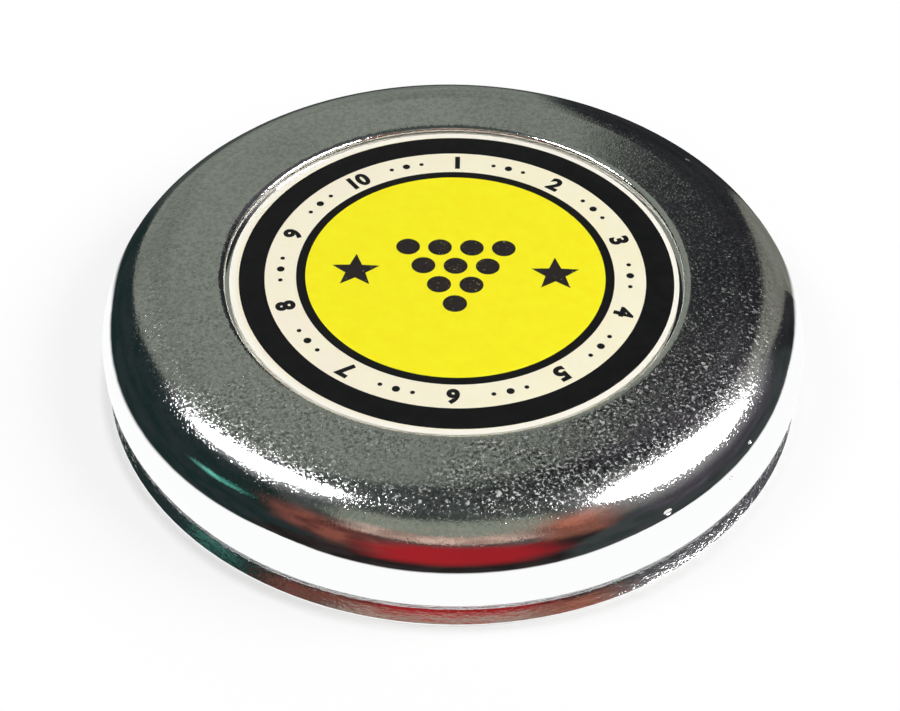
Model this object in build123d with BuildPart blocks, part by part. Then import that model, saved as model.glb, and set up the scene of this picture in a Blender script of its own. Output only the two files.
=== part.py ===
from build123d import *
from math import asin, cos, degrees
import os

# Magnetised puck for a puck-bowling machine. Millimetres, +Z up, with the origin at the
# centre of the running face, on the lane. Every piece is turned about Z, and only the
# screws and their holes repeat round it.

# Outer form of the body
puck_diameter = 82.55  # at the widest line of the edge
puck_height = 14.5
shoulder_radius = 8.6  # the bullnose, from the flat top to below the widest line
seam_height = 2.1  # the body stands on the base ring here

# Foot of the base ring
foot_inset = 0.28  # the foot's edge inside the body's widest line
neck_inset = 0.7  # the neck inside the body's lower edge, where the cove begins
foot_land = 0.35  # height of the foot's edge, below the cove
foot_round = 0.25  # the edge where the foot meets the lane
foot_cove_dip = 0.09  # how far the cove dips inside a straight flare

# Relief under the ring, which leaves only its outer part running on the lane
relief_depth = 0.5
relief_margin = 1.05  # from the screws' heads to the relief's step

# Label and its recess
label_diameter = 52.1
label_thickness = 0.35
adhesive_thickness = 0.12
adhesive_margin = 0.3  # the film stops short of the label's edge
label_gap = 0.5  # round the label, to the wall of its recess
label_depth = 0.65  # from the flat top down to the label's face
lip_width = 0.75  # the soft lip of the recess
lip_drop = 0.45
recess_roof = 2.3  # metal between the label recess and the magnet pocket

# Magnet, and the stack that holds it in its pocket
magnet_diameter = 45.0
magnet_bore_diameter = 20.0
magnet_thickness = 6.0
magnet_chamfer = 0.5
back_plate_inset = 0.5  # inside the magnet's edge
back_plate_thickness = 1.2
back_plate_chamfer = 0.3
spacer_wall = 4.2
spacer_clearance = 0.1  # to the magnet, and to the pocket's wall
spacer_chamfer = 0.3
pad_thickness = 0.8
pad_gap = 0.4  # round the pad, to the pocket's wall
pocket_mouth_chamfer = 0.4

# Base ring inside the pocket, and the cover in its window
spigot_clearance = 0.05
spigot_chamfer = 0.3
magnet_seat = 2.0  # width of the spigot's rim under the magnet
window_ledge = 1.5  # the step that the cover's flange stands on
cover_clearance = 0.1
cover_flange_thickness = 1.1
cover_sink = 0.3  # the cover's face above the relieved face of the ring
cover_boss_clearance = 0.2
cover_boss_height = 2.5
cover_boss_chamfer = 0.4
cover_boss_wall = 2.8  # round the moulded hollow under the boss
cover_hollow_depth = 1.6

# Screws
screw_count = 4
screw_wall = 2.85  # metal between the pocket and each screw
screw_diameter = 2.5
screw_length = 8.0
screw_tip_chamfer = 0.4
head_diameter = 4.7
head_sink = 0.1  # the head above the relieved face
head_clearance = 0.05
slot_width = 0.7
slot_depth = 0.55
slot_turn = 37  # degrees by which each next screw came tight further round
shank_clearance = 0.15  # in the base ring
thread_clearance = 0.02  # in the body
thread_spare = 1.0  # tapped beyond the screw's tip

# Heights, from the top down to the lane
widest_height = puck_height - shoulder_radius
label_face_height = puck_height - label_depth
label_back_height = label_face_height - label_thickness
recess_floor_height = label_back_height - adhesive_thickness
pocket_roof_height = recess_floor_height - recess_roof
plate_top_height = pocket_roof_height - pad_thickness
magnet_top_height = plate_top_height - back_plate_thickness
magnet_base_height = magnet_top_height - magnet_thickness
ledge_height = magnet_base_height - cover_flange_thickness
cover_face_height = relief_depth + cover_sink
head_face_height = relief_depth + head_sink
screw_tip_height = head_face_height + screw_length

# Radii
puck_radius = puck_diameter / 2
shoulder_centre_radius = puck_radius - shoulder_radius
tuck_angle = asin((widest_height - seam_height) / shoulder_radius)
tuck_radius = shoulder_centre_radius + shoulder_radius * cos(tuck_angle)
neck_radius = tuck_radius - neck_inset
foot_radius = puck_radius - foot_inset
label_radius = label_diameter / 2
recess_radius = label_radius + label_gap
lip_radius = recess_radius + lip_width
magnet_radius = magnet_diameter / 2
magnet_bore_radius = magnet_bore_diameter / 2
spacer_bore_radius = magnet_radius + spacer_clearance
spacer_radius = spacer_bore_radius + spacer_wall
pocket_radius = spacer_radius + spacer_clearance
spigot_radius = pocket_radius - spigot_clearance
ledge_radius = magnet_radius - magnet_seat
window_radius = ledge_radius - window_ledge
boss_radius = magnet_bore_radius - cover_boss_clearance
screw_radius = screw_diameter / 2
screw_circle_radius = pocket_radius + screw_wall + screw_radius
head_radius = head_diameter / 2
head_height = head_radius - screw_radius  # a head of 90 degrees
relief_radius = screw_circle_radius + head_radius + relief_margin

os.makedirs("parts", exist_ok=True)

# Body: an iron casting, turned and chromed. One arc runs from the flat top round the edge
# to the tuck at the seam. A recess in the top takes the label, a pocket from below takes
# the magnet, and tapped holes beside the pocket take the screws.
with BuildPart() as top_shell:
    with BuildSketch(Plane.XZ):
        with BuildLine():
            Polyline(
                (0, recess_floor_height),
                (recess_radius, recess_floor_height),
                (recess_radius, puck_height - lip_drop),
            )
            EllipticalCenterArc(
                (lip_radius, puck_height - lip_drop),
                lip_width,
                lip_drop,
                start_angle=90,
                arc_size=90,
            )
            Line((lip_radius, puck_height), (shoulder_centre_radius, puck_height))
            CenterArc(
                (shoulder_centre_radius, widest_height),
                shoulder_radius,
                start_angle=-degrees(tuck_angle),
                arc_size=90 + degrees(tuck_angle),
            )
            Polyline(
                (tuck_radius, seam_height),
                (pocket_radius + pocket_mouth_chamfer, seam_height),
                (pocket_radius, seam_height + pocket_mouth_chamfer),
                (pocket_radius, pocket_roof_height),
                (0, pocket_roof_height),
                (0, recess_floor_height),
            )
        make_face()
    revolve(axis=Axis.Z)
    with BuildSketch(Plane.XY.offset(seam_height)):
        with PolarLocations(screw_circle_radius, screw_count):
            Circle(screw_radius + thread_clearance)
    extrude(amount=screw_tip_height + thread_spare - seam_height, mode=Mode.SUBTRACT)
top_shell.part.label = "top_shell"
export_step(top_shell.part, "parts/top_shell.step")

# Base ring: chromed steel, under the body. Its edge flares in a cove from a neck under the
# seam to the running face. A spigot centres it in the pocket and carries the magnet, and
# the window in its middle leaves the magnet's field open to the lane.
cove_top = Vector(neck_radius, seam_height)
cove_foot = Vector(foot_radius, foot_land)
cove_slope = (cove_foot - cove_top).normalized()
cove_middle = (cove_top + cove_foot) * 0.5 + Vector(cove_slope.Y, -cove_slope.X) * foot_cove_dip
with BuildPart() as base_ring:
    with BuildSketch(Plane.XZ):
        with BuildLine():
            Polyline(
                (window_radius, relief_depth),
                (window_radius, ledge_height),
                (ledge_radius, ledge_height),
                (ledge_radius, magnet_base_height),
                (spigot_radius - spigot_chamfer, magnet_base_height),
                (spigot_radius, magnet_base_height - spigot_chamfer),
                (spigot_radius, seam_height),
                (neck_radius, seam_height),
            )
            ThreePointArc(cove_top, cove_middle, cove_foot)
            Line(cove_foot, (foot_radius, foot_round))
            CenterArc((foot_radius - foot_round, foot_round), foot_round, start_angle=-90, arc_size=90)
            Polyline(
                (foot_radius - foot_round, 0),
                (relief_radius + relief_depth, 0),
                (relief_radius, relief_depth),
                (window_radius, relief_depth),
            )
        make_face()
    revolve(axis=Axis.Z)
    with BuildSketch(Plane.XY):
        with PolarLocations(screw_circle_radius, screw_count):
            Circle(screw_radius + shank_clearance)
    extrude(amount=seam_height, mode=Mode.SUBTRACT)
    with BuildSketch(Plane.XY.offset(head_face_height)):
        with PolarLocations(screw_circle_radius, screw_count):
            Circle(head_radius + head_clearance)
    extrude(amount=-head_face_height, mode=Mode.SUBTRACT)
    with BuildSketch(Plane.XY.offset(head_face_height)):
        with PolarLocations(screw_circle_radius, screw_count):
            Circle(head_radius + head_clearance)
    extrude(amount=head_height, taper=45, mode=Mode.SUBTRACT)
base_ring.part.label = "base_ring"
export_step(base_ring.part, "parts/base_ring.step")

# Base screws: slotted steel screws with countersunk heads, up through the ring into the
# body. Each came tight with its slot at another angle.
with BuildPart() as base_screws:
    with BuildSketch(Plane.XY.offset(head_face_height)):
        with PolarLocations(screw_circle_radius, screw_count):
            Circle(screw_radius)
    extrude(amount=screw_length)
    shank_tips = base_screws.faces().sort_by(Axis.Z)[-screw_count:]
    chamfer(shank_tips.edges(), length=screw_tip_chamfer)
    with BuildSketch(Plane.XY.offset(head_face_height)):
        with PolarLocations(screw_circle_radius, screw_count):
            Circle(head_radius)
    extrude(amount=head_height, taper=45)
    for number, place in enumerate(PolarLocations(screw_circle_radius, screw_count)):
        with BuildSketch(Plane.XY.offset(head_face_height)):
            with Locations(place):
                Rectangle(head_diameter, slot_width, rotation=number * slot_turn)
        extrude(amount=slot_depth, mode=Mode.SUBTRACT)
base_screws.part.label = "base_screws"
export_step(base_screws.part, "parts/base_screws.step")

# Magnet cover: a moulded disc in the base ring's window. Its flange is held between the
# ring's ledge and the magnet, and its boss centres the magnet's bore.
with BuildPart() as magnet_cover:
    with BuildSketch(Plane.XY.offset(cover_face_height)):
        Circle(window_radius - cover_clearance)
    extrude(amount=ledge_height - cover_face_height)
    with BuildSketch(Plane.XY.offset(ledge_height)):
        Circle(ledge_radius - cover_clearance)
    extrude(amount=cover_flange_thickness)
    with BuildSketch(Plane.XY.offset(magnet_base_height)):
        Circle(boss_radius)
    extrude(amount=cover_boss_height)
    chamfer(magnet_cover.faces().sort_by(Axis.Z)[-1].edges(), length=cover_boss_chamfer)
    with BuildSketch(Plane.XY.offset(cover_face_height)):
        Circle(boss_radius - cover_boss_wall)
    extrude(amount=cover_hollow_depth, mode=Mode.SUBTRACT)
magnet_cover.part.label = "magnet_cover"
export_step(magnet_cover.part, "parts/magnet_cover.step")

# Ring magnet: pressed and fired ferrite, standing on the spigot.
with BuildPart() as ring_magnet:
    with BuildSketch(Plane.XY.offset(magnet_base_height)):
        Circle(magnet_radius)
        Circle(magnet_bore_radius, mode=Mode.SUBTRACT)
    extrude(amount=magnet_thickness)
    chamfer(ring_magnet.edges().filter_by(GeomType.CIRCLE), length=magnet_chamfer)
ring_magnet.part.label = "ring_magnet"
export_step(ring_magnet.part, "parts/ring_magnet.step")

# Back plate: a soft steel disc on the magnet's upper face.
with BuildPart() as back_plate:
    with BuildSketch(Plane.XY.offset(magnet_top_height)):
        Circle(magnet_radius - back_plate_inset)
    extrude(amount=back_plate_thickness)
    chamfer(back_plate.edges(), length=back_plate_chamfer)
back_plate.part.label = "back_plate"
export_step(back_plate.part, "parts/back_plate.step")

# Spacer ring: plastic, round the magnet and the back plate, so that neither touches the
# iron of the body.
with BuildPart() as spacer_ring:
    with BuildSketch(Plane.XY.offset(magnet_base_height)):
        Circle(spacer_radius)
        Circle(spacer_bore_radius, mode=Mode.SUBTRACT)
    extrude(amount=plate_top_height - magnet_base_height)
    chamfer(spacer_ring.edges().filter_by(GeomType.CIRCLE), length=spacer_chamfer)
spacer_ring.part.label = "spacer_ring"
export_step(spacer_ring.part, "parts/spacer_ring.step")

# Cushion pad: a rubber disc, pressed between the pocket's roof and the stack below it.
with BuildPart() as cushion_pad:
    with BuildSketch(Plane.XY.offset(plate_top_height)):
        Circle(pocket_radius - pad_gap)
    extrude(amount=pad_thickness)
cushion_pad.part.label = "cushion_pad"
export_step(cushion_pad.part, "parts/cushion_pad.step")

# Label adhesive: the film between the label and the recess floor.
with BuildPart() as label_adhesive:
    with BuildSketch(Plane.XY.offset(recess_floor_height)):
        Circle(label_radius - adhesive_margin)
    extrude(amount=adhesive_thickness)
label_adhesive.part.label = "label_adhesive"
export_step(label_adhesive.part, "parts/label_adhesive.step")

# Label: the stamped plastic disc that carries the print.
with BuildPart() as label_disc:
    with BuildSketch(Plane.XY.offset(label_back_height)):
        Circle(label_radius)
    extrude(amount=label_thickness)
label_disc.part.label = "label_disc"
export_step(label_disc.part, "parts/label_disc.step")
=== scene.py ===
import math

import bpy
from mathutils import Matrix, Quaternion, Vector


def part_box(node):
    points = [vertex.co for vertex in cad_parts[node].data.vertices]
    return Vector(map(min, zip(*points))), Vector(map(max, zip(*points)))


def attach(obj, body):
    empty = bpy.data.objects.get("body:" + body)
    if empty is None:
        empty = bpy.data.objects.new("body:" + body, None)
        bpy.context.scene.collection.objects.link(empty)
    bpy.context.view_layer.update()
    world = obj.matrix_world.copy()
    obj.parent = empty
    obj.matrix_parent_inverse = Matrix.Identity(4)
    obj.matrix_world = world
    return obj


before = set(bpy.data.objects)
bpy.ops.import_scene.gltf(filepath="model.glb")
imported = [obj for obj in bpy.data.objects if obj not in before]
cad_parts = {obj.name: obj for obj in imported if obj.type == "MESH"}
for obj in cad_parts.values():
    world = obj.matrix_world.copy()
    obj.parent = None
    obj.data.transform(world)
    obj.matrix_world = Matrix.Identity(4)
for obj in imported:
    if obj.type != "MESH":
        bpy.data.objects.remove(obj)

bpy.context.view_layer.update()

# ---------------------------------------------------------------------------------------------
# Camera. The puck as a player sees it on the lane, from 245 mm away and 44 degrees above it,
# through a moderate telephoto lens that was held about one degree off level.

MM = 0.001
eye_distance = 244.6 * MM
eye_height = math.radians(44.13)
eye_roll = math.radians(1.11)
eye_pan = math.radians(0.08)
eye_tilt = math.radians(0.07)
sensor_width = 36
focal_length = 81.0

away = Vector((0, -math.cos(eye_height), math.sin(eye_height)))
lens = bpy.data.cameras.new("camera")
lens.sensor_width = sensor_width
lens.lens = focal_length
lens.clip_start = 0.01
lens.clip_end = 20
camera = bpy.data.objects.new("camera", lens)
bpy.context.scene.collection.objects.link(camera)
camera.location = away * eye_distance
camera.rotation_mode = "QUATERNION"
camera.rotation_quaternion = (
    (-away).to_track_quat("-Z", "Y")
    @ Quaternion((0, 1, 0), eye_pan)
    @ Quaternion((1, 0, 0), eye_tilt)
    @ Quaternion((0, 0, 1), eye_roll)
)
bpy.context.scene.camera = camera
bpy.context.scene.view_settings.view_transform = "Standard"

# ---------------------------------------------------------------------------------------------
# Studio. A pale sheet lies under the puck in a dim room, with a soft lamp at its left and a
# larger one at its right. The room and the cards that stand in it are glowing surfaces, painted
# reflections of a dim room with its boards, cloths and lamp glows, and show only in the chrome.


def add(tree, kind, inputs=None, **options):
    """Adds a node to the tree, sets its options, then sets or links its inputs."""
    made = tree.nodes.new(kind)
    for option, value in options.items():
        setattr(made, option, value)
    for socket, value in (inputs or {}).items():
        if isinstance(value, bpy.types.NodeSocket):
            tree.links.new(value, made.inputs[socket])
        else:
            made.inputs[socket].default_value = value
    return made


def maths(tree, operation, first, second=0.0, third=0.0):
    """The result of one Math node."""
    return add(tree, "ShaderNodeMath", {0: first, 1: second, 2: third}, operation=operation).outputs[0]


def product(tree, *shares):
    """All the shares multiplied together."""
    total = shares[0]
    for share in shares[1:]:
        total = maths(tree, "MULTIPLY", total, share)
    return total


def rise(tree, value, low, high, bottom=0.0, top=1.0):
    """bottom below low, top above high, and a smooth rise between them."""
    inputs = {0: value, 1: low, 2: high, 3: bottom, 4: top}
    return add(tree, "ShaderNodeMapRange", inputs, interpolation_type="SMOOTHSTEP").outputs[0]


def noise(tree, spot, scale, detail=2.0, roughness=0.5, distortion=0.0):
    """Cloudy noise from 0 to 1, with scale lumps to the metre."""
    inputs = {"Vector": spot, "Scale": scale, "Detail": detail, "Roughness": roughness}
    inputs["Distortion"] = distortion
    return add(tree, "ShaderNodeTexNoise", inputs).outputs["Fac"]


def blend_colours(tree, share, first, second):
    """One colour going over to another as share goes from 0 to 1."""
    return add(tree, "ShaderNodeMix", {0: share, 6: first, 7: second}, data_type="RGBA").outputs[2]


def paint(red, green, blue):
    """A colour as it looks on screen, from 0 to 255, in Blender's linear values."""
    shown = (red / 255, green / 255, blue / 255)
    return tuple(c / 12.92 if c <= 0.04045 else ((c + 0.055) / 1.055) ** 2.4 for c in shown) + (1.0,)


def bare_material(name):
    """A new material with only its output node, and the spot on the piece that it is read at."""
    made = bpy.data.materials.new(name)
    made.use_nodes = True
    made.node_tree.nodes.clear()
    out = add(made.node_tree, "ShaderNodeOutputMaterial").inputs["Surface"]
    spot = add(made.node_tree, "ShaderNodeTexCoord").outputs["Object"]
    return made, made.node_tree, out, spot


def mesh_object(name, points, faces, material):
    """An object at the origin, from points and faces in metres."""
    mesh = bpy.data.meshes.new(name)
    mesh.from_pydata(points, [], faces)
    mesh.materials.append(material)
    made = bpy.data.objects.new(name, mesh)
    bpy.context.scene.collection.objects.link(made)
    return made


def direction(aside, above):
    """The way to a point of the room: degrees round from +Y towards +X, and degrees up."""
    turn, lift = math.radians(aside), math.radians(above)
    return Vector((math.sin(turn) * math.cos(lift), math.cos(turn) * math.cos(lift), math.sin(lift)))


floor_half = (100 * MM, 86 * MM)
floor_middle = (8 * MM, -8 * MM)
floor_drop = 0.03 * MM
floor_corners = 96
paper_fibres = 900.0
# the chrome sees this much of the floor, as a white sheet, and none of it under the puck
sheet_left, sheet_right = -61 * MM, 93 * MM
sheet_front, sheet_back = -75 * MM, 19 * MM
sheet_blur = 5 * MM
footprint = 40.5 * MM
# the camera sees the floor painted white, less so near the foot, where the puck's shadow stays:
# the paint comes in between two distances from the axis, from the share that stands last
close_shade = (41 * MM, 43.5 * MM, 0.35)
wide_shade = (42 * MM, 62 * MM, 0.78)

floor_paper, tree, out, spot = bare_material("floor_card")
rays = add(tree, "ShaderNodeLightPath").outputs
from_axis = add(tree, "ShaderNodeVectorMath", {0: spot}, operation="LENGTH").outputs["Value"]
fibres = noise(tree, spot, paper_fibres, 4.0)
paper_tone = blend_colours(tree, fibres, paint(248, 248, 247), paint(253, 253, 253))
paper = add(tree, "ShaderNodeBsdfDiffuse", {"Color": paper_tone}).outputs[0]
white = add(tree, "ShaderNodeEmission", {"Color": (1, 1, 1, 1), "Strength": 1.0}).outputs[0]
clear = add(tree, "ShaderNodeBsdfTransparent").outputs[0]
white_share = maths(
    tree,
    "MINIMUM",
    rise(tree, from_axis, *close_shade),
    rise(tree, from_axis, *wide_shade),
)
seen = product(tree, rays["Is Camera Ray"], white_share)
lit_paper = add(tree, "ShaderNodeMixShader", {0: seen, 1: paper, 2: white}).outputs[0]
aside, along, _ = add(tree, "ShaderNodeSeparateXYZ", {0: spot}).outputs
on_sheet = product(
    tree,
    rise(tree, aside, sheet_left - sheet_blur, sheet_left + sheet_blur),
    rise(tree, aside, sheet_right - 2 * sheet_blur, sheet_right + 2 * sheet_blur, 1.0, 0.0),
    rise(tree, along, sheet_front - sheet_blur, sheet_front + sheet_blur),
    rise(tree, along, sheet_back - sheet_blur, sheet_back + sheet_blur, 1.0, 0.0),
    maths(tree, "GREATER_THAN", from_axis, footprint),
)
sheet = add(tree, "ShaderNodeMixShader", {0: on_sheet, 1: clear, 2: white}).outputs[0]
mirrored = maths(tree, "MAXIMUM", rays["Is Glossy Ray"], rays["Is Transmission Ray"])
upper = add(tree, "ShaderNodeMixShader", {0: mirrored, 1: lit_paper, 2: sheet}).outputs[0]
from_below = add(tree, "ShaderNodeNewGeometry").outputs["Backfacing"]
faced = add(tree, "ShaderNodeMixShader", {0: from_below, 1: upper, 2: clear}).outputs[0]
tree.links.new(faced, out)
rim = []
for corner in range(floor_corners):
    turn = math.tau * corner / floor_corners
    x = floor_middle[0] + floor_half[0] * math.cos(turn)
    y = floor_middle[1] + floor_half[1] * math.sin(turn)
    rim.append((x, y, -floor_drop))
mesh_object("floor_card", rim, [tuple(range(floor_corners))], floor_paper)

# the camera sees plain white behind the floor, and the room keeps that white off the puck
world = bpy.data.worlds.new("white_surround")
bpy.context.scene.world = world
world.use_nodes = True
world.node_tree.nodes["Background"].inputs["Color"].default_value = (1, 1, 1, 1)
world.node_tree.nodes["Background"].inputs["Strength"].default_value = 1.0


def dull_cloth(name, colour, other, edge):
    """A glowing card, its colours a painted reflection of a dull cloth or board, unevenly bright, that fades
    out over edge, a share of its half width.
    """
    made, tree, out, spot = bare_material(name)
    uneven = rise(tree, noise(tree, spot, 7.0, 3.0), 0.35, 0.65)
    tone = blend_colours(tree, uneven, colour, other)
    glow = add(tree, "ShaderNodeEmission", {"Color": tone, "Strength": 1.0}).outputs[0]
    if edge:
        inside = add(tree, "ShaderNodeAttribute", attribute_name="inside").outputs["Fac"]
        clear = add(tree, "ShaderNodeBsdfTransparent").outputs[0]
        solid = rise(tree, inside, 0.0, edge)
        glow = add(tree, "ShaderNodeMixShader", {0: solid, 1: clear, 2: glow}).outputs[0]
    tree.links.new(glow, out)
    return made


room_radius = 0.95
bpy.ops.mesh.primitive_uv_sphere_add(segments=64, ring_count=32, radius=room_radius)
room = bpy.context.object
room.name = "room"
room.visible_camera = False
room.data.materials.clear()
room.data.materials.append(dull_cloth("room", paint(60, 64, 62), paint(74, 78, 76), 0.0))

# every card glows: painted reflections of boards and cloths, painted glows round the lamps and a painted
# glint
# name, distance in metres, two colours, soft edge, and the corners in degrees aside and above
cards = (
    ("dark_left", 0.92, (26, 42, 39), (40, 48, 50), 0.12,
     ((-180, -40), (-180, 12), (-142, 32), (-118, 46), (-84, 44), (-60, 36), (-44, 14), (-30, 2),
      (-14, -40))),
    ("grey_board_reflection", 0.87, (112, 117, 109), (130, 135, 126), 0.07,
     ((-12, -11), (-28, -7), (-38, 2), (-46, 11), (-53, 21), (-59, 30), (-65, 40), (-73, 52), (-77, 62),
      (-60, 73), (-8, 73), (6, 62), (9, 50), (8, 40), (8, 25), (8, 5), (7, -12), (0, -16))),
    ("dark_right", 0.85, (34, 35, 37), (48, 48, 51), 0.07,
     ((3, -40), (7, -8), (7, 25), (6, 40), (8, 52), (40, 50), (60, 40), (64, 20), (58, -10), (48, -40))),
    ("dark_above", 0.84, (60, 58, 62), (84, 82, 86), 0.25,
     ((4, 44), (2, 62), (36, 68), (74, 62), (84, 46), (62, 36), (36, 42))),
    ("grey_strip", 0.80, (106, 107, 99), (124, 124, 115), 0.2,
     ((17, -38), (23, -18), (26, -4), (30, 8), (35, 17), (40, 26), (46, 40), (62, 44), (64, 34), (60, 20),
      (54, 8), (47, -4), (41, -18), (34, -38))),
    ("dark_far_right", 0.89, (50, 56, 56), (62, 65, 66), 0.12,
     ((44, -40), (50, -4), (54, 12), (60, 26), (100, 26), (130, 26), (150, 8), (155, -40))),
    ("under_lamp", 0.83, (64, 61, 67), (84, 80, 88), 0.4,
     ((62, 6), (60, 20), (74, 26), (122, 28), (132, 16), (118, 4), (90, 1))),
    ("glow_left", 0.74, (206, 204, 206), (184, 184, 186), 1.0,
     ((-146, 60), (-130, 74), (-98, 80), (-76, 66), (-60, 50), (-64, 34), (-90, 33), (-122, 45))),
    ("glow_right", 0.74, (214, 211, 210), (192, 189, 190), 1.0,
     ((42, 26), (42, 50), (64, 70), (100, 80), (136, 72), (148, 48), (138, 24), (112, 12), (78, 9),
      (54, 14))),
    ("green_glint", 0.77, (126, 220, 200), (52, 116, 104), 0.8,
     ((-98, 11), (-101, 16), (-116, 25), (-125, 25), (-122, 20), (-108, 12))),
    ("dull_green", 0.83, (136, 139, 126), (124, 131, 119), 0.3,
     ((134, 44), (136, 60), (180, 62), (226, 60), (230, 46), (215, 36), (180, 34), (148, 34))),
    ("pale_strip", 0.79, (204, 174, 160), (150, 124, 112), 0.5,
     ((144, 28), (150, 40), (180, 40), (206, 44), (220, 44), (218, 32), (196, 28), (180, 26), (160, 26))),
    ("brown_left", 0.80, (134, 78, 66), (88, 50, 47), 0.75,
     ((184, 4), (188, 32), (212, 42), (234, 44), (244, 32), (234, 12), (212, 2))),
    ("brown_right", 0.775, (178, 110, 90), (132, 80, 66), 0.8,
     ((120, 28), (124, 54), (146, 58), (160, 40), (158, 16), (134, 12))),
    ("red_cloth_reflection", 0.06, (170, 38, 43), (154, 34, 40), 0.55,
     ((128, 6), (135, 24), (155, 31), (180, 33), (208, 33), (224, 20), (218, -1), (182, -6), (146, -4))),
    ("black_low", 0.90, (34, 31, 31), (48, 42, 42), 0.15,
     ((108, -40), (116, 6), (126, 24), (150, 26), (180, 8), (214, 8), (236, 2), (246, -40))),
)
card_rings = 4
card_step = 4.0
# a card nearer than this stands close to the puck's front edge, where the flat top hardly mirrors it
near_reflection_card = 0.1
front_edge = Vector((0, -39 * MM, 8 * MM))
for name, far, colour, other, edge, corners in cards:
    middle = (sum(c[0] for c in corners) / len(corners), sum(c[1] for c in corners) / len(corners))
    rim = []
    for start, end in zip(corners, corners[1:] + corners[:1]):
        steps = max(1, round(math.dist(start, end) / card_step))
        rim += [[a + (b - a) * k / steps for a, b in zip(start, end)] for k in range(steps)]
    pivot = front_edge if far < near_reflection_card else Vector()
    points = [pivot + direction(*middle) * far]
    for row in range(1, card_rings + 1):
        share = row / card_rings
        for corner in rim:
            way = direction(*(m + (c - m) * share for m, c in zip(middle, corner)))
            points.append(pivot + way * far)
    count = len(rim)
    faces = [(0, 1 + k, 1 + (k + 1) % count) for k in range(count)]
    for row in range(1, card_rings):
        first = 1 + (row - 1) * count
        for k in range(count):
            after = (k + 1) % count
            faces.append((first + k, first + count + k, first + count + after, first + after))
    card = mesh_object(name, points, faces, dull_cloth(name, paint(*colour), paint(*other), edge))
    inside = card.data.attributes.new("inside", "FLOAT", "POINT")
    for index in range(len(points)):
        inside.data[index].value = 1.0 - ((index - 1) // count + 1) / card_rings if index else 1.0
    card.visible_camera = False
    card.visible_diffuse = False
    card.visible_shadow = False

# name, degrees aside and above, length and width in metres, slant in degrees, and watts
lamp_distance = 0.6
lamps = (
    ("lamp_left", -95, 56, 0.33, 0.115, 54, 1.6),
    ("lamp_right", 96, 42, 0.44, 0.27, -31, 3.0),
)
for name, aside, above, length, width, slant, watts in lamps:
    light = bpy.data.lights.new(name, "AREA")
    light.shape = "ELLIPSE"
    light.size = length
    light.size_y = width
    light.energy = watts
    lamp = bpy.data.objects.new(name, light)
    bpy.context.scene.collection.objects.link(lamp)
    lamp.location = direction(aside, above) * lamp_distance
    lamp.rotation_mode = "QUATERNION"
    towards = -lamp.location.normalized()
    turned = Quaternion((0, 0, 1), math.radians(slant))
    lamp.rotation_quaternion = towards.to_track_quat("-Z", "Y") @ turned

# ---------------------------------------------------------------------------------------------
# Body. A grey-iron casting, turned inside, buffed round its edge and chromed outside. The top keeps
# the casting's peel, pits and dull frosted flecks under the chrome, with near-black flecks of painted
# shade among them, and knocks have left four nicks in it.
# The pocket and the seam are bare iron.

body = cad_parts["top_shell"]
bare_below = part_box("top_shell")[0].z + 0.01 * MM
bare_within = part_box("spacer_ring")[1].x + 0.15 * MM
bare_under_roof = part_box("cushion_pad")[1].z + 0.02 * MM
lip_edge = 26.9 * MM
lip_burr_edge = lip_edge + 0.55 * MM
lip_burr_above = 13.9 * MM
flecks_from = lip_edge + 0.6 * MM
buffed_below = 10.0 * MM
cast_above = 14.5 * MM
swell_depth = 0.01 * MM
peel_depth = 0.014 * MM
speck_depth = 0.012 * MM
pit_depth = -0.017 * MM
burr_depth = 0.07 * MM
nick_depth = 0.12 * MM
# each nick's place, aside, along and above the running face, and its radius, in mm
nicks = (
    (28.6, 21.7, 13.9, 0.45),
    (23.1, -33.0, 9.9, 0.7),
    (32.5, -23.1, 10.5, 0.35),
    (30.3, -27.1, 9.1, 0.35),
)
# where the skin is rough and flecked: from one place to another, and how strongly at each
rough_along = (-34 * MM, 34 * MM, 1.0, 0.45)
fleck_along = (-30 * MM, 20 * MM, 1.0, 0.15)
fleck_aside = (-6 * MM, 9 * MM, 0.6, 1.0)
fleck_above = (12.4 * MM, 14.3 * MM)
bright_chrome = (0.97, 0.975, 0.975, 1)
thin_chrome = (0.78, 0.785, 0.78, 1)
# painted shade: the colour of the near-black flecks on the front of the shoulder
painted_shade_fleck = (0.08, 0.084, 0.088, 1)
frosted_fleck = (0.66, 0.66, 0.66, 1)


def height_bump(tree, height, depth, under=None):
    """A bump of the given height, from 0 to 1, over depth metres, on top of the one under it."""
    inputs = {"Height": height, "Strength": 1.0, "Distance": depth}
    if under is not None:
        inputs["Normal"] = under
    return add(tree, "ShaderNodeBump", inputs).outputs[0]


def distance_from_axis(tree, spot):
    """How far each point is from the puck's own axis."""
    flat = add(tree, "ShaderNodeVectorMath", {0: spot, 1: (1, 1, 0)}, operation="MULTIPLY").outputs[0]
    return add(tree, "ShaderNodeVectorMath", {0: flat}, operation="LENGTH").outputs["Value"]


def surface_shader(tree, out, inputs):
    """Gives a material one Principled surface with these inputs."""
    skin = add(tree, "ShaderNodeBsdfPrincipled", inputs)
    tree.links.new(skin.outputs[0], out)


def coat(piece, material):
    """Puts one material on the whole of a piece."""
    piece.data.materials.clear()
    piece.data.materials.append(material)


plated, tree, out, spot = bare_material("body_chrome")
aside, along, height = add(tree, "ShaderNodeSeparateXYZ", {0: spot}).outputs
radius = distance_from_axis(tree, spot)
cast = product(
    tree,
    rise(tree, height, buffed_below, cast_above),
    rise(tree, radius, lip_edge - 0.2 * MM, lip_edge + 0.5 * MM),
)
rough = product(tree, cast, rise(tree, along, *rough_along))
crowded = rise(tree, noise(tree, spot, 90.0), 0.35, 0.6, 0.3, 1.0)

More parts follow.
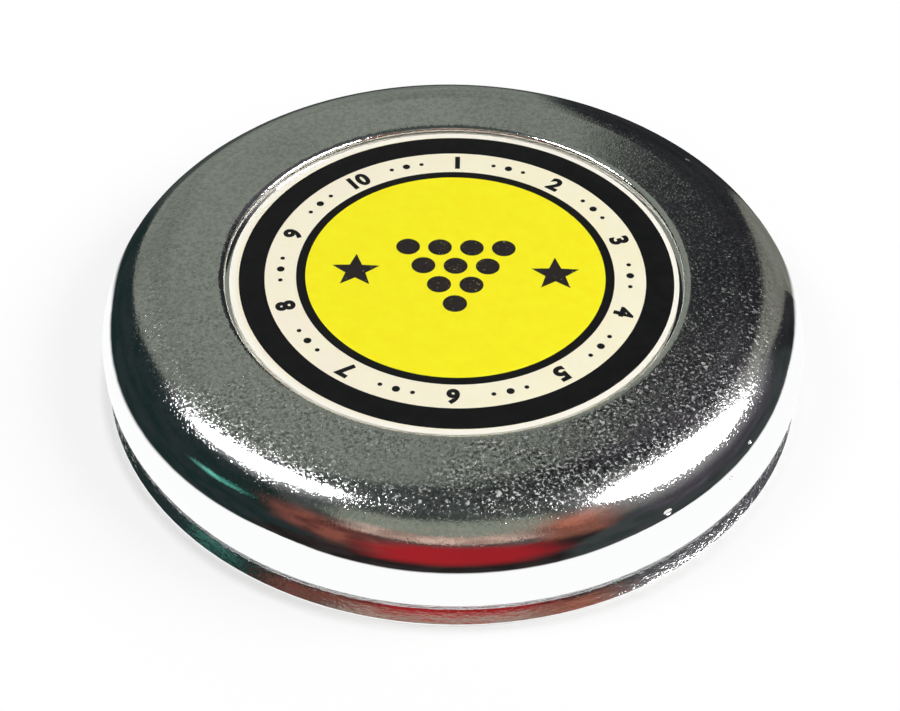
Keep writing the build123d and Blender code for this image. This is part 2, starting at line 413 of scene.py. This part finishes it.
# the casting's skin: a slow swell, orange peel, worm-like specks and round pits
peel = product(tree, noise(tree, spot, 2700.0, 3.0, 0.6), rough)
wiggles = noise(tree, spot, 2900.0, distortion=0.7)
specks = product(tree, rise(tree, wiggles, 0.52, 0.72), crowded, rough)
cells = add(tree, "ShaderNodeTexVoronoi", {"Vector": spot, "Scale": 1950.0}).outputs
cell_draw = add(tree, "ShaderNodeSeparateColor", {0: cells["Color"]}).outputs[0]
pitted_cells = maths(tree, "GREATER_THAN", product(tree, cell_draw, crowded), 0.28)
pits = product(tree, rise(tree, cells["Distance"], 0.05, 0.32, 1.0, 0.0), pitted_cells, rough)
surface = height_bump(tree, noise(tree, spot, 240.0), swell_depth)
surface = height_bump(tree, peel, peel_depth, surface)
surface = height_bump(tree, specks, speck_depth, surface)
surface = height_bump(tree, pits, pit_depth, surface)

# burrs on the recess's lip, and the nicks, which are flattened to half their width in height
lip_burr = product(
    tree,
    noise(tree, spot, 900.0, 3.0, 0.6),
    maths(tree, "LESS_THAN", radius, lip_burr_edge),
    maths(tree, "GREATER_THAN", height, lip_burr_above),
)
surface = height_bump(tree, lip_burr, burr_depth, surface)
nicked = 0.0
squat = add(tree, "ShaderNodeVectorMath", {0: spot, 1: (1, 1, 2)}, operation="MULTIPLY").outputs[0]
for x, y, z, size in nicks:
    centre = (x * MM, y * MM, 2 * z * MM)
    apart = add(tree, "ShaderNodeVectorMath", {0: squat, 1: centre}, operation="DISTANCE").outputs["Value"]
    surface = height_bump(tree, rise(tree, apart, 0.0, size * MM), nick_depth, surface)
    frosting = rise(tree, apart, 0.5 * size * MM, 0.9 * size * MM, 1.0, 0.0)
    nicked = maths(tree, "MAXIMUM", nicked, frosting)

# where the iron is bare, and where the flecks are: high on the front of the shoulder, outside the lip; the
# near-black flecks among them are painted shade
bare = maths(
    tree,
    "MAXIMUM",
    maths(tree, "LESS_THAN", height, bare_below),
    product(
        tree,
        maths(tree, "LESS_THAN", radius, bare_within),
        maths(tree, "LESS_THAN", height, bare_under_roof),
    ),
)
flecked = product(
    tree,
    rise(tree, along, *fleck_along),
    rise(tree, aside, *fleck_aside),
    rise(tree, height, *fleck_above),
    rise(tree, noise(tree, spot, 180.0, 3.0), 0.36, 0.6, 0.62, 1.0),
    maths(tree, "GREATER_THAN", radius, flecks_from),
)
grain = noise(tree, spot, 2700.0, 2.0, 0.6, 0.6)
# painted shade: near-black flecks in the chrome's colour where the grain is low; frosted flecks where it is
# high
painted_shade_flecks = product(tree, rise(tree, grain, 0.38, 0.50, 1.0, 0.0), flecked)
frosted = product(tree, rise(tree, grain, 0.56, 0.67), flecked)
thinned = product(tree, rise(tree, noise(tree, spot, 1900.0, 3.0, 0.6), 0.42, 0.62), cast)
iron = blend_colours(tree, noise(tree, spot, 700.0, 5.0), paint(104, 101, 98), paint(138, 135, 131))
tone = blend_colours(tree, thinned, bright_chrome, thin_chrome)
tone = blend_colours(tree, painted_shade_flecks, tone, painted_shade_fleck)
tone = blend_colours(tree, frosted, tone, frosted_fleck)
tone = blend_colours(tree, bare, tone, iron)
cloudy = product(tree, noise(tree, spot, 420.0, 5.0), cast)
dulled = rise(tree, cloudy, 0.0, 0.8, 0.03, 0.12)
for mark, dulling in ((bare, 0.35), (specks, 0.12), (pits, 0.2), (frosted, 0.75), (nicked, 0.3)):
    dulled = maths(tree, "MULTIPLY_ADD", mark, dulling, dulled)
surface_shader(tree, out, {"Base Color": tone, "Metallic": 1.0, "Roughness": dulled, "Normal": surface})
coat(body, plated)

# ---------------------------------------------------------------------------------------------
# Base ring. Turned steel, chromed all over, with a bright foot that flares out of a cove. The cove
# has streaks from the polishing wheel. Lathe marks and scuffs from the lane are only underneath.

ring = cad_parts["base_ring"]
under_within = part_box("base_ring")[1].x - 0.3 * MM
under_below = 0.52 * MM
tool_pitch = 0.22 * MM
tool_depth = 0.003 * MM
streak_depth = 0.06 * MM
cove_from = (0.1 * MM, 0.3 * MM)
cove_to = (1.5 * MM, 1.9 * MM, 1.0, 0.0)
# how far the low part of the cove leans out, in metres for each metre of height, and how high up
cove_lean = -0.085
lean_below = 1.35 * MM
scuff_turn = 0.7
ring_chrome, tree, out, spot = bare_material("base_chrome")
height = add(tree, "ShaderNodeSeparateXYZ", {0: spot}).outputs["Z"]
radius = distance_from_axis(tree, spot)
under_side = product(
    tree,
    maths(tree, "LESS_THAN", height, under_below),
    maths(tree, "LESS_THAN", radius, under_within),
)
tool_marks = maths(tree, "SINE", product(tree, radius, math.tau / tool_pitch))
on_cove = product(tree, rise(tree, height, *cove_from), rise(tree, height, *cove_to))
long_spot = add(tree, "ShaderNodeMapping", {"Vector": spot, "Scale": (0.3, 0.3, 1.0)}).outputs[0]
streaks = product(tree, noise(tree, long_spot, 2400.0, 4.0, 0.65), on_cove)
lean = product(tree, maths(tree, "MINIMUM", height, lean_below), cove_lean)
surface = height_bump(tree, lean, 1.0)
surface = height_bump(tree, product(tree, tool_marks, under_side), tool_depth, surface)
surface = height_bump(tree, streaks, streak_depth, surface)
lane_lay = {"Vector": spot, "Rotation": (0, 0, scuff_turn), "Scale": (1.0, 16.0, 1.0)}
scuff_spot = add(tree, "ShaderNodeMapping", lane_lay).outputs[0]
scuffed = rise(tree, noise(tree, scuff_spot, 300.0, 3.0), 0.55, 0.7)
surface_shader(
    tree,
    out,
    {
        "Base Color": bright_chrome,
        "Metallic": 1.0,
        "Roughness": maths(tree, "MULTIPLY_ADD", product(tree, scuffed, under_side), 0.25, 0.04),
        "Normal": surface,
    },
)
coat(ring, ring_chrome)

# ---------------------------------------------------------------------------------------------
# Base screws. Four slotted steel screws with countersunk heads, zinc plated and passivated. They
# hold the ring to the body, and a driver has rubbed the plating off round their slots.

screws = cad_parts["base_screws"]
head_radius = 2.35 * MM
screw_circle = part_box("base_screws")[1].x - head_radius
facing_pitch = 0.12 * MM
facing_depth = 0.004 * MM
plating_depth = 0.01 * MM
screw_zinc, tree, out, spot = bare_material("screw_steel")
folded = add(tree, "ShaderNodeVectorMath", {0: spot}, operation="ABSOLUTE").outputs[0]
off_axis = []
for centre in ((screw_circle, 0, 0), (0, screw_circle, 0)):
    shifted = add(tree, "ShaderNodeVectorMath", {0: folded, 1: centre}, operation="SUBTRACT").outputs[0]
    off_axis.append(distance_from_axis(tree, shifted))
from_screw = maths(tree, "MINIMUM", *off_axis)
facing_rings = maths(tree, "SINE", product(tree, from_screw, math.tau / facing_pitch))
passivated = blend_colours(tree, noise(tree, spot, 350.0, 3.0), paint(196, 190, 160), paint(178, 186, 196))
driven = rise(tree, noise(tree, spot, 1300.0, 4.0), 0.52, 0.62)
surface = height_bump(tree, noise(tree, spot, 2200.0), plating_depth)
surface_shader(
    tree,
    out,
    {
        "Base Color": blend_colours(tree, driven, passivated, paint(140, 138, 134)),
        "Metallic": 1.0,
        "Roughness": rise(tree, noise(tree, spot, 900.0, 4.0), 0.3, 0.7, 0.22, 0.4),
        "Normal": height_bump(tree, facing_rings, facing_depth, surface),
    },
)
coat(screws, screw_zinc)

# ---------------------------------------------------------------------------------------------
# Magnet cover. A disc moulded in black plastic, with a spark-eroded grain on its face and the ring
# mark of its gate in the middle. The ring's ledge and the magnet hold its flange.

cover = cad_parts["magnet_cover"]
gate_radius = 1.6 * MM
gate_width = 0.12 * MM
gate_depth = 0.05 * MM
spark_depth = 0.02 * MM
cover_plastic, tree, out, spot = bare_material("cover_plastic")
flow = noise(tree, spot, 60.0, 3.0)
rubbed = rise(tree, noise(tree, spot, 150.0, 5.0), 0.5, 0.68)
black = blend_colours(tree, flow, paint(24, 24, 26), paint(31, 31, 33))
from_gate = maths(tree, "SUBTRACT", distance_from_axis(tree, spot), gate_radius)
gate_mark = rise(tree, maths(tree, "ABSOLUTE", from_gate), 0.0, gate_width)
surface = height_bump(tree, noise(tree, spot, 2600.0, 3.0, 0.6), spark_depth)
surface_shader(
    tree,
    out,
    {
        "Base Color": blend_colours(tree, rubbed, black, paint(52, 52, 53)),
        "Roughness": maths(tree, "MULTIPLY_ADD", rubbed, -0.12, 0.5),
        "Normal": height_bump(tree, gate_mark, gate_depth, surface),
    },
)
coat(cover, cover_plastic)

# ---------------------------------------------------------------------------------------------
# Ring magnet. Ferrite powder pressed and fired to a brittle grey ceramic. Its two faces are
# ground, and its edges are a little chipped.

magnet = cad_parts["ring_magnet"]
magnet_low, magnet_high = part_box("ring_magnet")
face_skin = 0.01 * MM
grinding_depth = 0.02 * MM
chip_depth = -0.05 * MM
fired, tree, out, spot = bare_material("ferrite")
height = add(tree, "ShaderNodeSeparateXYZ", {0: spot}).outputs["Z"]
on_face = maths(
    tree,
    "MAXIMUM",
    maths(tree, "LESS_THAN", height, magnet_low.z + face_skin),
    maths(tree, "GREATER_THAN", height, magnet_high.z - face_skin),
)
strokes = add(tree, "ShaderNodeMapping", {"Vector": spot, "Scale": (0.04, 1.0, 1.0)}).outputs[0]
ground = product(tree, noise(tree, strokes, 3500.0, 3.0, 0.6), on_face)
chips = rise(tree, noise(tree, spot, 620.0, 3.0), 0.64, 0.7)
grey = blend_colours(tree, noise(tree, spot, 1500.0, 4.0), paint(62, 60, 62), paint(80, 78, 79))
surface = height_bump(tree, ground, grinding_depth)
surface_shader(
    tree,
    out,
    {
        "Base Color": blend_colours(tree, chips, grey, paint(38, 36, 38)),
        "Roughness": maths(tree, "MULTIPLY_ADD", on_face, -0.25, 0.65),
        "Normal": height_bump(tree, chips, chip_depth, surface),
    },
)
coat(magnet, fired)

# ---------------------------------------------------------------------------------------------
# Back plate. A disc blanked from cold-rolled mild steel, oiled and left bare. The rolling shows
# as a fine straight grain, with a few freckles of rust.

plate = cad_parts["back_plate"]
rolling_depth = 0.006 * MM
rolled, tree, out, spot = bare_material("soft_steel")
stretched = add(tree, "ShaderNodeMapping", {"Vector": spot, "Scale": (1.0, 0.05, 1.0)}).outputs[0]
rolling = noise(tree, stretched, 2800.0, 4.0, 0.6)
freckles = rise(tree, noise(tree, spot, 330.0, 5.0, 0.65), 0.62, 0.7)
oiled = blend_colours(tree, rolling, paint(150, 148, 146), paint(172, 171, 168))
surface_shader(
    tree,
    out,
    {
        "Base Color": blend_colours(tree, freckles, oiled, paint(112, 74, 52)),
        "Metallic": maths(tree, "MULTIPLY_ADD", freckles, -0.7, 1.0),
        "Roughness": maths(tree, "MULTIPLY_ADD", freckles, 0.4, 0.33),
        "Normal": height_bump(tree, rolling, rolling_depth),
    },
)
coat(plate, rolled)

# ---------------------------------------------------------------------------------------------
# Spacer ring. Turned from natural nylon tube. It centres the magnet and keeps its field out of
# the iron of the body.

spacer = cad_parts["spacer_ring"]
cut_pitch = 0.18 * MM
cut_depth = 0.003 * MM
nylon, tree, out, spot = bare_material("spacer_plastic")
level = add(tree, "ShaderNodeSeparateXYZ", {0: spot}).outputs["Z"]
cut_place = maths(tree, "ADD", distance_from_axis(tree, spot), level)
cuts = maths(tree, "SINE", product(tree, cut_place, math.tau / cut_pitch))
ivory = blend_colours(tree, noise(tree, spot, 120.0, 4.0), paint(228, 224, 208), paint(238, 236, 224))
surface_shader(
    tree,
    out,
    {
        "Base Color": ivory,
        "Roughness": rise(tree, noise(tree, spot, 500.0, 3.0), 0.3, 0.7, 0.32, 0.46),
        "Subsurface Weight": 0.2,
        "Subsurface Radius": (1.0, 0.9, 0.7),
        "Subsurface Scale": 1.0 * MM,
        "Normal": height_bump(tree, cuts, cut_depth),
    },
)
coat(spacer, nylon)

# ---------------------------------------------------------------------------------------------
# Cushion pad. A disc punched from black foamed rubber sheet, pressed flat between the pocket's
# roof and the back plate.

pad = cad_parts["cushion_pad"]
cell_depth = 0.05 * MM
foam, tree, out, spot = bare_material("pad_rubber")
cells = add(tree, "ShaderNodeTexVoronoi", {"Vector": spot, "Scale": 2400.0}).outputs["Distance"]
# painted shade in the pores: the foam is darker towards the middle of each cell, where the bump dips
surface_shader(
    tree,
    out,
    {
        "Base Color": blend_colours(tree, rise(tree, cells, 0.1, 0.6), paint(20, 20, 21), paint(44, 43, 43)),
        "Roughness": 0.85,
        "Specular IOR Level": 0.3,
        "Normal": height_bump(tree, cells, cell_depth),
    },
)
coat(pad, foam)

# ---------------------------------------------------------------------------------------------
# Label adhesive. A film of clear acrylic adhesive under the label, aged to pale amber, with small
# bubbles where it didn't wet the recess.

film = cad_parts["label_adhesive"]
bubble_depth = 0.02 * MM
acrylic, tree, out, spot = bare_material("adhesive")
cells = add(tree, "ShaderNodeTexVoronoi", {"Vector": spot, "Scale": 480.0}).outputs["Distance"]
bubbles = rise(tree, cells, 0.12, 0.2, 1.0, 0.0)
amber = blend_colours(tree, noise(tree, spot, 150.0, 3.0), paint(206, 190, 150), paint(220, 208, 176))
surface_shader(
    tree,
    out,
    {
        "Base Color": blend_colours(tree, bubbles, amber, paint(236, 230, 214)),
        "Roughness": 0.3,
        "Normal": height_bump(tree, bubbles, bubble_depth),
    },
)
coat(film, acrylic)

# ---------------------------------------------------------------------------------------------
# Label. A disc stamped from cream plastic sheet, printed in yellow and black, and stuck in its
# recess. The sheet is a shade pinker at one side and paler at its rim.

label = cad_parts["label_disc"]
label_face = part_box("label_disc")[1].z
pinker_aside = (-20 * MM, 16 * MM)
bleached_rim = (25.2 * MM, 25.5 * MM)
sheet_grain_depth = 0.004 * MM
label_stock, tree, out, spot = bare_material("label")
aside = add(tree, "ShaderNodeSeparateXYZ", {0: spot}).outputs["X"]
cream = blend_colours(tree, rise(tree, aside, *pinker_aside), paint(253, 243, 222), paint(253, 245, 211))
mottling = rise(tree, noise(tree, spot, 260.0, 4.0), 0.3, 0.7)
mottled = blend_colours(tree, mottling, cream, paint(253, 246, 219))
bleached = rise(tree, distance_from_axis(tree, spot), *bleached_rim)
surface_shader(
    tree,
    out,
    {
        "Base Color": blend_colours(tree, bleached, mottled, paint(254, 249, 236)),
        "Roughness": 0.5,
        "Specular IOR Level": 0.25,
        "Normal": height_bump(tree, noise(tree, spot, 2500.0, 3.0), sheet_grain_depth),
    },
)
coat(label, label_stock)

# ---------------------------------------------------------------------------------------------
# Print. Two screened inks on the label: lemon yellow for the centre, and black for the rings,
# the numbers round them, and the rack of ten pins with a star at each side of it.

ink_film = 0.012 * MM
print_centre = Vector((0.12 * MM, 0, 0))
yellow_radius = 17.4 * MM
thin_ring_radius = 18.46 * MM
cream_ring_radius = 22.1 * MM
black_ring_radius = 25.2 * MM
black_ring_shift = 0.14 * MM
ring_corners = 180


def ink_material(name, colour, other, worn, worn_share=0.0):
    """Screened ink, from one colour to the other, with worn specks where the stock shows."""
    made, tree, out, spot = bare_material(name)
    tone = blend_colours(tree, rise(tree, noise(tree, spot, 500.0, 3.0), 0.3, 0.7), colour, other)
    rubbed = rise(tree, noise(tree, spot, 3200.0, 3.0, 0.65), 0.70 - worn_share, 0.74 - worn_share)
    surface_shader(
        tree,
        out,
        {
            "Base Color": blend_colours(tree, rubbed, tone, worn),
            "Roughness": rise(tree, noise(tree, spot, 800.0), 0.3, 0.7, 0.42, 0.55),
            "Specular IOR Level": 0.25,
            "Normal": height_bump(tree, noise(tree, spot, 2500.0, 3.0), sheet_grain_depth),
        },
    )
    return made


def printed_ring(name, inner, outer, bottom, material, shift=0.0):
    """A band of ink, or a disc where inner is 0, with a closed edge all round."""
    top = bottom + ink_film
    loops = [(outer, bottom, shift), (outer, top, shift)]
    if inner:
        loops += [(inner, top, 0.0), (inner, bottom, 0.0)]
    points = []
    for reach, level, moved in loops:
        for k in range(ring_corners):
            turn = math.tau * k / ring_corners
            place = Vector((moved + reach * math.cos(turn), reach * math.sin(turn), level))
            points.append(print_centre + place)
    faces = []
    sides = len(loops) if inner else 1
    for side in range(sides):
        first, second = side * ring_corners, (side + 1) % len(loops) * ring_corners
        for k in range(ring_corners):
            after = (k + 1) % ring_corners
            faces.append((first + k, first + after, second + after, second + k))
    if not inner:
        faces.append(tuple(reversed(range(ring_corners))))
        faces.append(tuple(range(ring_corners, 2 * ring_corners)))
    return mesh_object(name, points, faces, material)


yellow_ink = ink_material("yellow_ink", paint(255, 245, 35), paint(254, 240, 30), paint(255, 244, 66))
black_ink = ink_material("black_ink", paint(16, 16, 17), paint(10, 10, 12), paint(38, 35, 40))
worn_ink = ink_material("worn_black_ink", paint(34, 30, 34), paint(42, 36, 34), paint(190, 178, 120), 0.04)

printed = [
    printed_ring("print_yellow_disc", 0.0, yellow_radius, label_face, yellow_ink),
    printed_ring("print_thin_ring", yellow_radius, thin_ring_radius, label_face, black_ink),
    printed_ring(
        "print_wide_ring", cream_ring_radius, black_ring_radius, label_face, black_ink, black_ring_shift
    ),
]

# The numbers are made 1 deep at any size, then brought to their height and to the ink's thickness.
number_height = 2.35 * MM
number_circle = (thin_ring_radius + cream_ring_radius) / 2
number_count = 10
number_weight = 0.05
number_depth = 1.0
for number in range(1, number_count + 1):
    curve = bpy.data.curves.new(f"number_{number}", "FONT")
    curve.body = str(number)
    curve.align_x = "CENTER"
    curve.align_y = "CENTER"
    curve.offset = number_weight
    curve.extrude = number_depth / 2
    curve.resolution_u = 4
    letters = bpy.data.objects.new(curve.name, curve)
    bpy.context.scene.collection.objects.link(letters)
    bpy.context.view_layer.update()
    mesh = bpy.data.meshes.new_from_object(letters.evaluated_get(bpy.context.evaluated_depsgraph_get()))
    bpy.data.objects.remove(letters)
    lows = [min(v.co[axis] for v in mesh.vertices) for axis in range(2)]
    highs = [max(v.co[axis] for v in mesh.vertices) for axis in range(2)]
    size = number_height / (highs[1] - lows[1])
    turn = math.pi / 2 - math.tau * (number - 1) / number_count
    mesh.transform(
        Matrix.Translation(print_centre + Vector((0, 0, label_face + ink_film / 2)))
        @ Matrix.Rotation(turn - math.pi / 2, 4, "Z")
        @ Matrix.Translation((0, number_circle, 0))
        @ Matrix.Diagonal((size, size, ink_film, 1))
        @ Matrix.Translation((-(lows[0] + highs[0]) / 2, -(lows[1] + highs[1]) / 2, 0))
    )
    mesh.materials.clear()
    mesh.materials.append(black_ink)
    figure = bpy.data.objects.new(f"print_number_{number}", mesh)
    bpy.context.scene.collection.objects.link(figure)
    printed.append(figure)

# The dots between the numbers and the rack repeat, so they share one tree. A gap between two
# numbers has three dots, the middle one larger. The rack has a row of one, then of two, and so on.
dot_corners = 24
gap_dots = 3
gap_dot_radius = 0.45 * MM
gap_dot_pitch = 1.9 * MM
small_dot = 0.6
rack_pins = 10
rack_rows = 4
rack_dot_radius = 1.4 * MM
rack_pitch = 3.75 * MM
rack_row_step = math.sqrt(0.75)
rack_middle = 0.55


def printed_dots(name, count, ring_radius, dot_radius, pitch, material):
    """Dots of ink: count of them round a ring, or in a rack of rows where ring_radius is 0."""
    tree = bpy.data.node_groups.new(name, "GeometryNodeTree")
    sizes = {"count": count, "ring radius": ring_radius, "dot radius": dot_radius, "pitch": pitch}
    for size_name in sizes:
        kind = "NodeSocketInt" if size_name == "count" else "NodeSocketFloat"
        tree.interface.new_socket(size_name, in_out="INPUT", socket_type=kind)
    tree.interface.new_socket("Geometry", in_out="OUTPUT", socket_type="NodeSocketGeometry")
    given = add(tree, "NodeGroupInput").outputs
    index = add(tree, "GeometryNodeInputIndex").outputs[0]
    if ring_radius:
        # dot number index is the place-th of its gap, and the numbers run clockwise from the back
        middle_dot = (gap_dots - 1) / 2
        gap_turn = -math.tau * gap_dots / count
        gap = maths(tree, "FLOOR", maths(tree, "DIVIDE", index, gap_dots))
        place = maths(tree, "SUBTRACT", index, product(tree, gap, gap_dots))
        step = maths(tree, "MULTIPLY_ADD", place, given["pitch"], -middle_dot * pitch)
        turn = maths(tree, "MULTIPLY_ADD", maths(tree, "ADD", gap, 0.5), gap_turn, math.pi / 2)
        turn = maths(tree, "ADD", turn, maths(tree, "DIVIDE", step, given["ring radius"]))
        grown = maths(tree, "COMPARE", place, middle_dot, 0.1)
        x = product(tree, maths(tree, "COSINE", turn), given["ring radius"])
        y = product(tree, maths(tree, "SINE", turn), given["ring radius"])
    else:
        # row r begins at dot number r (r + 1) / 2, so r is the whole part of (sqrt(8 index + 1) - 1) / 2
        grown = 1.0
        root = maths(tree, "SQRT", maths(tree, "MULTIPLY_ADD", index, 8.0, 1.01))
        row = maths(tree, "FLOOR", maths(tree, "MULTIPLY_ADD", root, 0.5, -0.5))
        first = product(tree, maths(tree, "MULTIPLY_ADD", row, 0.5, 0.5), row)
        column = maths(tree, "SUBTRACT", maths(tree, "SUBTRACT", index, first), product(tree, row, 0.5))
        lift = maths(tree, "SUBTRACT", row, (rack_rows - 1) * rack_middle)
        x = product(tree, column, given["pitch"])
        y = product(tree, lift, rack_row_step, given["pitch"])
    places = add(
        tree,
        "GeometryNodePoints",
        {"Count": given["count"], "Position": add(tree, "ShaderNodeCombineXYZ", {0: x, 1: y}).outputs[0]},
    )
    dot = add(
        tree,
        "GeometryNodeMeshCylinder",
        {"Vertices": dot_corners, "Radius": given["dot radius"], "Depth": ink_film},
    )
    copies = add(
        tree,
        "GeometryNodeInstanceOnPoints",
        {
            "Points": places.outputs[0],
            "Instance": dot.outputs["Mesh"],
            "Scale": maths(tree, "MULTIPLY_ADD", grown, 1 - small_dot, small_dot),
        },
    )
    real = add(tree, "GeometryNodeRealizeInstances", {0: copies.outputs[0]})
    inked = add(tree, "GeometryNodeSetMaterial", {0: real.outputs[0], "Material": material})
    result = add(tree, "NodeGroupOutput")
    tree.links.new(inked.outputs[0], result.inputs[0])
    carrier = bpy.data.objects.new(name, bpy.data.meshes.new(name))
    bpy.context.scene.collection.objects.link(carrier)
    modifier = carrier.modifiers.new("dots", "NODES")
    modifier.node_group = tree
    for item in tree.interface.items_tree:
        if item.in_out == "INPUT":
            modifier[item.identifier] = sizes[item.name]
    bpy.context.view_layer.update()
    mesh = bpy.data.meshes.new_from_object(carrier.evaluated_get(bpy.context.evaluated_depsgraph_get()))
    carrier.modifiers.clear()
    carrier.data = mesh
    return carrier


star_points = 5
star_reach = 2.9 * MM
star_waist = 0.42
star_aside = 11.6 * MM


def star(name, middle, material):
    """A pointed star of ink, its first point towards the back."""
    count = 2 * star_points
    corners = []
    for k in range(count):
        length = star_reach if k % 2 == 0 else star_reach * star_waist
        turn = math.pi / 2 + math.tau * k / count
        corners.append(middle + Vector((length * math.cos(turn), length * math.sin(turn), 0)))
    points = corners + [corner + Vector((0, 0, ink_film)) for corner in corners]
    faces = [(k, (k + 1) % count, (k + 1) % count + count, k + count) for k in range(count)]
    faces += [tuple(reversed(range(count))), tuple(range(count, 2 * count))]
    return mesh_object(name, points, faces, material)


yellow_face = label_face + ink_film
dots_round = printed_dots(
    "print_ring_dots", number_count * gap_dots, number_circle, gap_dot_radius, gap_dot_pitch, black_ink
)
dots_round.data.transform(Matrix.Translation(print_centre + Vector((0, 0, label_face + ink_film / 2))))
rack = printed_dots("print_rack_of_ten", rack_pins, 0.0, rack_dot_radius, rack_pitch, worn_ink)
rack.data.transform(Matrix.Translation(print_centre + Vector((0, 0, yellow_face + ink_film / 2))))
printed += [dots_round, rack]
for side, name in ((-1, "print_star_left"), (1, "print_star_right")):
    middle = print_centre + Vector((side * star_aside, 0, yellow_face))
    printed.append(star(name, middle, worn_ink))

for piece in printed:
    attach(piece, "root")
